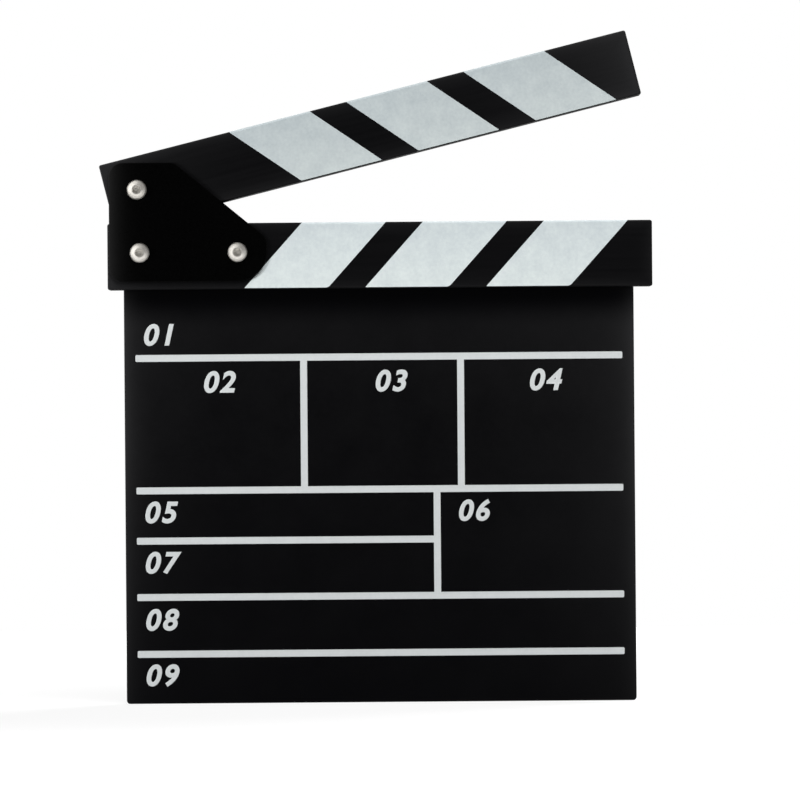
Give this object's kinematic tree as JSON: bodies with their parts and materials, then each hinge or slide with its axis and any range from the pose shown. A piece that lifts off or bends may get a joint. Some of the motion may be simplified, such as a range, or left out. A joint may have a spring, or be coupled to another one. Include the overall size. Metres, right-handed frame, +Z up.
{
  "type": "clapperboard",
  "caption": "Black wooden clapperboard: ruled slate under a fixed striped clap stick, with a hinged striped stick above that swings on a pivot screw between metal plates.",
  "frame": {"origin": "middle of the slate's bottom edge, halfway through its thickness", "axes": "+Z up the slate to the clap sticks, +X along the sticks away from the hinge, -Y out of the printed face"},
  "size_m": [0.2029, 0.0184, 0.246],
  "materials": {
    "slate_paint": "matte",
    "stick_paint": "matte",
    "plate_coat": "satin",
    "nickel": "satin",
    "white_ink": "matte"
  },
  "bodies": {
    "board": {"slate_board": "slate_paint", "lower_stick": "stick_paint", "front_hinge_plate": "plate_coat", "rear_hinge_plate": "plate_coat", "pivot_screw": "nickel", "pivot_barrel": "nickel", "left_fixing_screw": "nickel", "left_fixing_barrel": "nickel", "right_fixing_screw": "nickel", "right_fixing_barrel": "nickel"},
    "clapper": {"upper_stick": "stick_paint"}
  },
  "joints": [
    {"name": "clapper_hinge", "type": "hinge", "parent": "board", "child": "clapper", "pos_m": [-0.08845, 0, 0.1889], "axis": [0, -1, 0], "range_deg": [-14, 76]}
  ]
}
